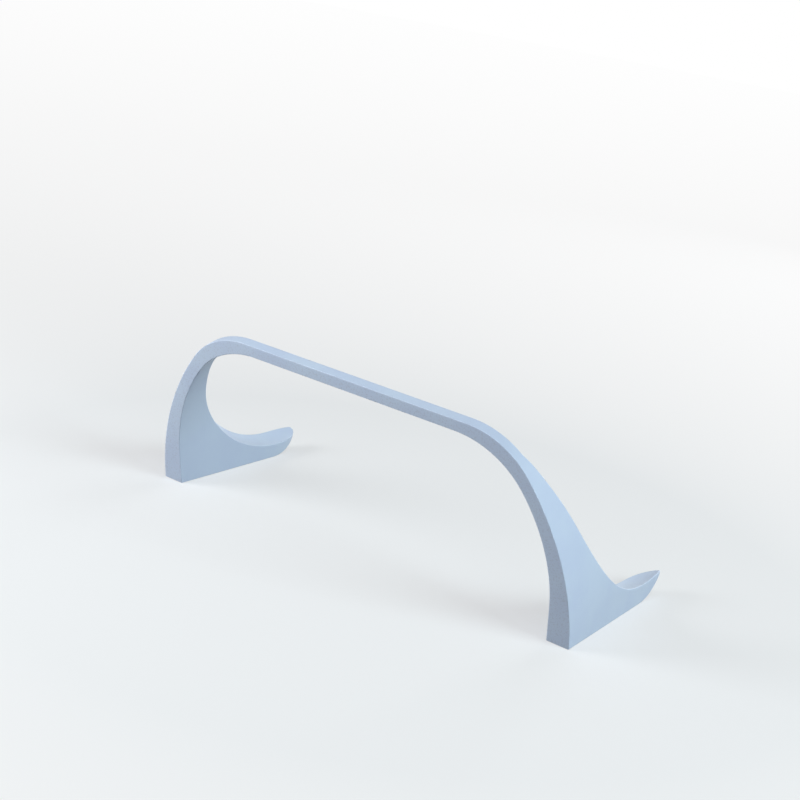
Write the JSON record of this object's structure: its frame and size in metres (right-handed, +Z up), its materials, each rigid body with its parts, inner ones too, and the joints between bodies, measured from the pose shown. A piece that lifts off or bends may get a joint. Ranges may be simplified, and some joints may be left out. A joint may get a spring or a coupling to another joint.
{
  "type": "game controller stand",
  "caption": "Leaning printed arch on two long feet whose hollowed top edges cradle the grips of a game pad and hold it upright for display.",
  "frame": {"origin": "middle of the bounding box's bottom, on the surface that the feet stand on, half way between the legs", "axes": "+X across the arch, to the right as seen from behind; +Y from the heels to the toes, the way the held pad faces; +Z up"},
  "size_m": [0.13, 0.0708, 0.051],
  "materials": {
    "printed_plastic": "matte white printed plastic with a faint grain"
  },
  "bodies": {
    "root": {"stand": "printed_plastic"}
  },
  "joints": []
}
